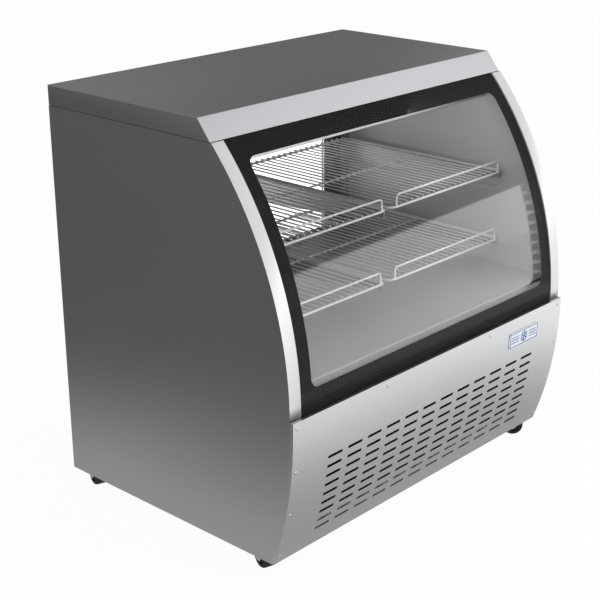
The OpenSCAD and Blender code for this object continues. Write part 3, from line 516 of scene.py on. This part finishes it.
def cross_head(radius, height):
    """Low domed screw head with a cross recess, standing on z = 0."""
    bm = bmesh.new()
    rim = bmesh.ops.create_circle(bm, segments=24, radius=radius)["verts"]
    edges = ring_edges(bm, rim)
    bmesh.ops.contextual_create(bm, geom=edges)
    for scale, lift in ((0.97, 0.35), (0.86, 0.4), (0.74, 0.25)):
        edges = raise_ring(bm, edges, scale, lift * height)
    arm, half = radius * 0.48, radius * 0.13
    corners = []
    for quarter in range(4):
        turn = Matrix.Rotation(quarter * math.pi / 2, 3, "Z")
        for spot in ((arm, -half, height), (arm, half, height), (half, half, height)):
            corners.append(bm.verts.new(turn @ Vector(spot)))
    cross = [bm.edges.new((corners[i], corners[i - 1])) for i in range(len(corners))]
    bmesh.ops.bridge_loops(bm, edges=edges + cross)
    floor = raise_ring(bm, cross, 0.55, -height * 0.7)
    bmesh.ops.contextual_create(bm, geom=floor)
    bmesh.ops.recalc_face_normals(bm, faces=bm.faces)
    return bm


def hex_head(radius, height, segments=6):
    """Bolt head or nut with a chamfered top, standing on z = 0."""
    bm = bmesh.new()
    bmesh.ops.create_cone(
        bm,
        cap_ends=True,
        segments=segments,
        radius1=radius,
        radius2=radius,
        depth=height,
        matrix=Matrix.Translation((0, 0, height / 2)),
    )
    top = [e for e in bm.edges if all(v.co.z > height * 0.9 for v in e.verts)]
    bevel(bm, top, height * 0.18, 2)
    return bm


def block(bm, low, high, rounding=0.0):
    """Box between two corners with its edges rounded."""
    size = Vector(high) - Vector(low)
    middle = (Vector(high) + Vector(low)) / 2
    place = Matrix.Translation(middle) @ Matrix.Diagonal((*size, 1))
    new = bmesh.ops.create_cube(bm, size=1, matrix=place)["verts"]
    if rounding:
        bevel(bm, list({e for v in new for e in v.link_edges}), rounding)


def round_bar(bm, start, end, radius, segments=12):
    """Straight bar with closed ends."""
    start, end = Vector(start), Vector(end)
    place = standing((start + end) / 2, end - start)
    bmesh.ops.create_cone(
        bm,
        cap_ends=True,
        segments=segments,
        radius1=radius,
        radius2=radius,
        depth=(end - start).length,
        matrix=place,
    )


def return_bend(bm, centre, across, out, span, radius, steps=10):
    """Half ring of tube from one pass of a coil to the next."""
    centre, across, out = Vector(centre), Vector(across), Vector(out)
    axis = across.cross(out)
    ring = bmesh.ops.create_circle(
        bm, segments=10, radius=radius, matrix=standing(centre + across * span / 2, out)
    )["verts"]
    edges = ring_edges(bm, ring)
    bmesh.ops.spin(
        bm,
        geom=edges,
        cent=centre,
        axis=axis,
        angle=math.pi,
        steps=steps,
        use_merge=False,
    )


def islands(bm):
    """The separate bodies of a mesh, as lists of faces."""
    left = set(bm.faces)
    while left:
        body, todo = set(), [left.pop()]
        while todo:
            face = todo.pop()
            body.add(face)
            for edge in face.edges:
                for near in edge.link_faces:
                    if near in left:
                        left.remove(near)
                        todo.append(near)
        yield list(body)


# ---------------------------------------------------------------- screws and bolts


# Height of a finished head as a share of the plain one, so that it stays inside it
HEAD_SHARE = 0.93


def make_screws():
    """A cross recess in the head of every screw."""
    heads = bmesh.new()
    source = node_bmesh("screws")
    for body in islands(source):
        seat = max(body, key=lambda face: face.calc_area())
        radius = math.sqrt(seat.calc_area() / math.pi)
        axis = -seat.normal
        spot = seat.calc_center_bounds()
        rise = [(v.co - spot).dot(axis) for face in body for v in face.verts]
        head = cross_head(radius, max(rise) * HEAD_SHARE)
        stamp(heads, head, standing(spot, axis))
        head.free()
    source.free()
    finish_piece("screw_heads", heads, "screw_steel", "cabinet", SLOT["screws"], ("screws",))


def make_caster_bolts():
    """Axle nuts on each fork and four bolts through each top plate."""
    bolts = bmesh.new()
    bolt = hex_head(0.0055, 0.003)
    nut = hex_head(0.0065, 0.0028)
    plate_t, bolt_gap, nut_in = 0.0031, 0.0225, 0.0024
    plate_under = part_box("base_frame")[0].z - plate_t
    for corner in ("front_left", "front_right", "back_left", "back_right"):
        swivel = frame_joint("swivel_" + corner)
        for sx in (-1, 1):
            for sy in (-1, 1):
                spot = Vector(swivel["pos_m"]) + Vector((sx * bolt_gap, sy * bolt_gap, 0))
                spot.z = plate_under
                stamp(bolts, bolt, standing(spot, (0, 0, -1)))
        roll = frame_joint("roll_" + corner)
        centre, axis = Vector(roll["pos_m"]), Vector(roll["axis"]).normalized()
        reach = max((v.co - centre).dot(axis) for v in nodes["caster_fork_" + corner].data.vertices)
        nuts = bmesh.new()
        for side in (-1, 1):
            stamp(nuts, nut, standing(centre + axis * side * (reach - nut_in), axis * side))
        name = "caster_fork_" + corner
        finish_piece("axle_nuts_" + corner, nuts, "screw_steel", BODY[name], SLOT[name])
    bolt.free()
    nut.free()
    finish_piece("caster_plate_bolts", bolts, "screw_steel", "cabinet", SLOT["caster_plates"])


def frame_joint(name):
    return next(j for j in frame["record"]["behaviour"]["joints"] if j["name"] == name)


make_screws()
make_caster_bolts()

# ---------------------------------------------------------------- badge


def badge_place():
    """The middle of the badge's face, +Z out of the panel and +Y up it."""
    low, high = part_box("badge_plate")
    lean = math.atan2(high.y - low.y, high.z - low.z)
    sunk = 0.00062
    face_y = low.y + sunk
    turn = Matrix.Rotation(math.pi / 2 + lean / 2, 4, "X")
    return Matrix.Translation(((low.x + high.x) / 2, face_y, (low.z + high.z) / 2)) @ turn


def make_emblem():
    """Six-armed ice crystal on the badge, between two sets of lines and inside a border."""
    low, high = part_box("badge_plate")
    bm = bmesh.new()
    arm, twig, width, rise = 0.0145, 0.0058, 0.0024, 0.0003
    for i in range(6):
        turn = Matrix.Rotation(i * math.pi / 3 + math.pi / 6, 4, "Z")
        parts = [((0, 0), (arm, 0))]
        for side in (-1, 1):
            start = (arm * 0.55, 0)
            end = (arm * 0.55 + twig * 0.6, side * twig * 0.8)
            parts.append((start, end))
        for a, b in parts:
            start, end = turn @ Vector((*a, 0)), turn @ Vector((*b, 0))
            run = end - start
            flat = Matrix.Rotation(math.atan2(run.y, run.x), 4, "Z")
            place = Matrix.Translation((start + end) / 2) @ flat
            place = place @ Matrix.Diagonal((run.length + width, width, rise, 1))
            bmesh.ops.create_cube(bm, size=1, matrix=place)
    half_w, half_h = (high.x - low.x) / 2 - 0.005, (high.z - low.z) / 2 - 0.004
    line, band_in, band_gap, line_pitch = 0.0011, 0.022, 0.005, 0.007
    for side in (-1, 1):
        block(bm, (-half_w, side * half_h - line, -rise), (half_w, side * half_h + line, rise / 2))
        block(bm, (side * half_w - line, -half_h, -rise), (side * half_w + line, half_h, rise / 2))
        for step in (-line_pitch, 0, line_pitch):
            reach = sorted((side * band_in, side * (half_w - band_gap)))
            block(bm, (reach[0], step - line, -rise), (reach[1], step + line, rise / 2))
    bmesh.ops.transform(bm, matrix=badge_place(), verts=bm.verts)
    finish_piece("badge_emblem", bm, "emblem_blue", "cabinet", SLOT["badge_plate"], smooth=0)


make_emblem()

# ---------------------------------------------------------------- controls

SEGMENTS = {"3": "abgcd", "8": "abcdefg"}


def digit(bm, sign, middle, height):
    """One seven-segment numeral, facing +Y and read from behind the case."""
    half = height / 2
    wide, bar = height * 0.27, height * 0.07
    lines = {
        "a": ((-wide, half), (wide, half)),
        "g": ((-wide, 0), (wide, 0)),
        "d": ((-wide, -half), (wide, -half)),
        "b": ((wide, 0), (wide, half)),
        "c": ((wide, -half), (wide, 0)),
        "f": ((-wide, 0), (-wide, half)),
        "e": ((-wide, -half), (-wide, 0)),
    }
    for name in SEGMENTS[sign]:
        (x0, z0), (x1, z1) = lines[name]
        low = (middle.x - max(x0, x1) - bar, middle.y, middle.z + min(z0, z1) - bar)
        high = (middle.x - min(x0, x1) + bar, middle.y + 0.0002, middle.z + max(z0, z1) + bar)
        block(bm, low, high)


def make_display():
    """Tinted window and numerals of the thermostat, with arrow marks on its buttons."""
    low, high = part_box("controller")
    face = Vector(((low.x + high.x) / 2, high.y, (low.z + high.z) / 2))
    window = bmesh.new()
    half_w, half_h, sunk, proud = 0.0145, 0.0095, 0.001, 0.0004
    window_low, window_high = Vector((half_w, sunk, half_h)), Vector((half_w, proud, half_h))
    block(window, face - window_low, face + window_high, proud)
    finish_piece("display_window", window, "display_tint", "cabinet", SLOT["controller"])
    numerals = bmesh.new()
    for sign, shift in (("3", 0.0055), ("8", -0.0055)):
        digit(numerals, sign, face + Vector((shift, proud, 0)), 0.011)
    slot = SLOT["controller"]
    finish_piece("display_numerals", numerals, "display_digit", "cabinet", slot, smooth=0)
    for key, body, turn in (("button_up", "key_up", 0), ("button_down", "key_down", 180)):
        low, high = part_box(key)
        mark = bmesh.new()
        place = Matrix.Translation(((low.x + high.x) / 2, high.y, (low.z + high.z) / 2))
        place = place @ Matrix.Rotation(math.radians(turn), 4, "Y")
        place = place @ Matrix.Rotation(-math.pi / 2, 4, "X")
        bmesh.ops.create_cone(
            mark,
            cap_ends=True,
            segments=3,
            radius1=0.0019,
            radius2=0.0019,
            depth=0.0003,
            matrix=place @ Matrix.Rotation(-math.pi / 2, 4, "Z"),
        )
        finish_piece(key + "_arrow", mark, "dark_plastic", body, SLOT[key], smooth=0)


make_display()

# ---------------------------------------------------------------- coils


def finned_coil(name, finish, rows, ranks):
    """Plate fins, end plates and return bends in the room that the CAD coil holds."""
    low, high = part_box(name)
    end = 0.014
    pitch, plate = 0.0042, 0.0003
    overlap, end_plate = 0.0015, 0.0012
    fins = bmesh.new()
    count = int((high.x - low.x - 2 * end) / pitch)
    for i in range(count + 1):
        x = low.x + end + i * pitch
        block(fins, (x, low.y, low.z), (x + plate, high.y, high.z))
    finish_piece(name + "_fins", fins, finish, "cabinet", SLOT[name], (name,), smooth=0)
    ends = bmesh.new()
    for x in (low.x + end - overlap, high.x - end + plate):
        block(ends, (x, low.y, low.z), (x + end_plate, high.y, high.z), plate)
    finish_piece(name + "_ends", ends, "galvanized", "cabinet", SLOT[name])
    tubes = bmesh.new()
    radius = 0.0045
    gap_z, gap_y = (high.z - low.z) / rows, (high.y - low.y) / ranks
    for rank in range(ranks):
        y = low.y + (rank + 0.5) * gap_y
        for row in range(rows):
            z = low.z + (row + 0.5) * gap_z
            first, last = (low.x + end - overlap, y, z), (high.x - end + overlap, y, z)
            round_bar(tubes, first, last, radius)
        for row in range(rows - 1):
            side = 1 if (row + rank) % 2 else -1
            x = high.x - end + overlap if side > 0 else low.x + end - overlap
            z = low.z + (row + 1) * gap_z
            squat = min(gap_z, 2 * (end - overlap - radius))
            bend = bmesh.new()
            return_bend(bend, (0, 0, 0), (0, 0, 1), (side, 0, 0), squat, radius)
            bmesh.ops.scale(bend, vec=(1, 1, gap_z / squat), verts=bend.verts)
            bmesh.ops.recalc_face_normals(bend, faces=bend.faces)
            stamp(tubes, bend, Matrix.Translation((x, y, z)))
            bend.free()
    finish_piece(name + "_tubes", tubes, "copper", "cabinet", SLOT["refrigerant_pipes"])


finned_coil("evaporator_coil", "fins", 3, 4)
# The condenser coil's near-black fins are painted shade behind the front panel's slots
finned_coil("condenser_coil", "painted_shade_fins", 7, 2)

# ---------------------------------------------------------------- compressor fittings


def make_compressor_fittings():
    """Terminal cover on the shell, with its clip."""
    low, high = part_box("compressor")
    middle = (low + high) / 2
    shell = 0.078
    cover = bmesh.new()
    block(
        cover,
        (middle.x - 0.026, middle.y + shell - 0.012, low.z + 0.075),
        (middle.x + 0.026, middle.y + shell + 0.022, low.z + 0.13),
        0.004,
    )
    slot = SLOT["electrical_box"]
    finish_piece("compressor_terminal_cover", cover, "dark_plastic", "cabinet", slot)
    clip = bmesh.new()
    block(
        clip,
        (middle.x - 0.005, middle.y + shell - 0.01, low.z + 0.072),
        (middle.x + 0.005, middle.y + shell + 0.0235, low.z + 0.133),
        0.001,
    )
    finish_piece("compressor_cover_clip", clip, "galvanized", "cabinet", SLOT["base_frame"])


make_compressor_fittings()

# ---------------------------------------------------------------- stage and light


def smooth_step(tree, source, low, high, bottom=0.0, top=1.0):
    """A smooth change from bottom to top as the source goes from low to high."""
    ramp = add(tree, "ShaderNodeMapRange", interpolation_type="SMOOTHSTEP")
    tree.links.new(source, ramp.inputs["Value"])
    ramp.inputs["From Min"].default_value = low
    ramp.inputs["From Max"].default_value = high
    ramp.inputs["To Min"].default_value = bottom
    ramp.inputs["To Max"].default_value = top
    return ramp.outputs["Result"]


def blend_number(tree, share, low, high):
    """low where share is 0, high where it is 1."""
    mix = add(tree, "ShaderNodeMix", data_type="FLOAT")
    tree.links.new(share, mix.inputs["Factor"])
    for place, value in ((2, low), (3, high)):
        if isinstance(value, (int, float)):
            mix.inputs[place].default_value = value
        else:
            tree.links.new(value, mix.inputs[place])
    return mix.outputs[0]


KEY_SIDE = (0.7, -0.71, 0.0)
ROOM_DIM = 0.17
ROOM_BEHIND = 0.3
KEY_HIGH = 1.15
KEY_LOW = 2.15
KEY_EDGE = 0.17
INSIDE_DIM = 0.16
# Painted shade: the floor's glow in reflections close round the case
FLOOR_PAINTED_SHADE = 0.47
FLOOR_DIM = 0.13
FLOOR_KEY = 1.3
FLOOR_WHITE = 1.02
FLOOR_THROUGH = 1.9


def make_world():
    """White to the lens; for all else a dim room with a bright wall in front and to the right."""
    world = bpy.data.worlds.new("studio")
    world.use_nodes = True
    scene.world = world
    tree = world.node_tree
    coords = add(tree, "ShaderNodeTexCoord")
    toward = add(tree, "ShaderNodeVectorMath", operation="DOT_PRODUCT")
    toward.inputs[1].default_value = KEY_SIDE
    tree.links.new(coords.outputs["Generated"], toward.inputs[0])
    height = add(tree, "ShaderNodeSeparateXYZ")
    tree.links.new(coords.outputs["Generated"], height.inputs[0])
    z = height.outputs["Z"]
    path = add(tree, "ShaderNodeLightPath")
    through = path.outputs["Is Transmission Ray"]
    upper = blend_number(tree, through, KEY_HIGH, INSIDE_DIM)
    below = smooth_step(tree, z, KEY_EDGE - 0.008, KEY_EDGE + 0.008, 1.0, 0.0)
    key = blend_number(tree, below, upper, KEY_LOW)
    behind = smooth_step(tree, toward.outputs["Value"], -0.35, 0.1, ROOM_BEHIND, ROOM_DIM)
    behind = blend_number(tree, smooth_step(tree, z, 0.05, 0.2), ROOM_DIM, behind)
    front = smooth_step(tree, toward.outputs["Value"], 0.1, 0.75)
    room = blend_number(tree, front, behind, key)
    lit_through = math_node(tree, "MULTIPLY", through, below)
    seen = math_node(tree, "MAXIMUM", path.outputs["Is Camera Ray"], lit_through)
    level = math_node(tree, "MAXIMUM", room, seen)
    tree.links.new(level, tree.nodes["Background"].inputs["Strength"])
    tree.nodes["Background"].inputs["Color"].default_value = (1, 1, 1, 1)


def make_floor():
    """Pale floor: white to the lens; in reflections it glows with painted shade close round the case
    and a painted pool of light to the front and right.
    """
    mesh = bpy.data.meshes.new("studio_floor")
    bm = bmesh.new()
    bmesh.ops.create_grid(bm, x_segments=1, y_segments=1, size=14)
    bm.to_mesh(mesh)
    bm.free()
    floor = bpy.data.objects.new("studio_floor", mesh)
    scene.collection.objects.link(floor)
    mat, tree, shader = new_material("pale_floor")
    shader.inputs["Base Color"].default_value = (0.62, 0.62, 0.62, 1)
    shader.inputs["Roughness"].default_value = 0.9
    coords = add(tree, "ShaderNodeTexCoord")
    spot = coords.outputs["Object"]
    toward = add(tree, "ShaderNodeVectorMath", operation="DOT_PRODUCT")
    toward.inputs[1].default_value = KEY_SIDE
    tree.links.new(spot, toward.inputs[0])
    size = add(tree, "ShaderNodeVectorMath", operation="ABSOLUTE")
    tree.links.new(spot, size.inputs[0])
    past = add(tree, "ShaderNodeVectorMath", operation="SUBTRACT")
    tree.links.new(size.outputs[0], past.inputs[0])
    past.inputs[1].default_value = (cad_high[0], cad_high[1], 0)
    clear = add(tree, "ShaderNodeVectorMath", operation="MAXIMUM")
    tree.links.new(past.outputs[0], clear.inputs[0])
    away = add(tree, "ShaderNodeVectorMath", operation="LENGTH")
    tree.links.new(clear.outputs[0], away.inputs[0])
    far = smooth_step(tree, away.outputs["Value"], -0.1, 1.0)
    front = smooth_step(tree, toward.outputs["Value"], -0.6, 0.8)
    # Painted light: in reflections the open floor glows brighter to the front and right
    open_floor = blend_number(tree, front, FLOOR_DIM, FLOOR_KEY)
    # Painted shade: the glow in reflections is darker close round the case
    mirrored = blend_number(tree, far, FLOOR_PAINTED_SHADE, open_floor)
    path = add(tree, "ShaderNodeLightPath")
    through, glossy = path.outputs["Is Transmission Ray"], path.outputs["Is Glossy Ray"]
    seen = math_node(tree, "MAXIMUM", path.outputs["Is Camera Ray"], through)
    white = blend_number(tree, through, FLOOR_WHITE, FLOOR_THROUGH)
    level = blend_number(tree, seen, mirrored, white)
    share = math_node(tree, "MAXIMUM", math_node(tree, "MULTIPLY", seen, 0.95), glossy)
    glow = add(tree, "ShaderNodeEmission")
    tree.links.new(level, glow.inputs["Strength"])
    mix_surface(tree, share, shader, glow)
    mesh.materials.append(mat)


def make_light(name, place, target, size, power):
    """A soft panel that lights matt faces and stays out of reflections."""
    data = bpy.data.lights.new(name, "AREA")
    data.shape = "RECTANGLE"
    data.size, data.size_y = size
    data.energy = power
    light = bpy.data.objects.new(name, data)
    light.location = place
    light.rotation_euler = (Vector(target) - Vector(place)).to_track_quat("-Z", "Y").to_euler()
    light.visible_glossy = False
    light.visible_transmission = False
    scene.collection.objects.link(light)


make_world()
make_floor()
make_light("front_softbox", (2.6, -3.2, 2.4), (0, 0, 0.5), (2.4, 1.8), 60)
make_light("top_softbox", (0.0, -0.6, 3.4), (0, 0, 0.5), (2.0, 1.6), 20)
make_light("case_lamp", (0.1, -0.2, 0.92), (0.47, -0.17, 0.78), (0.4, 0.03), 1.0)

scene.view_settings.view_transform = "Standard"
scene.view_settings.look = "None"
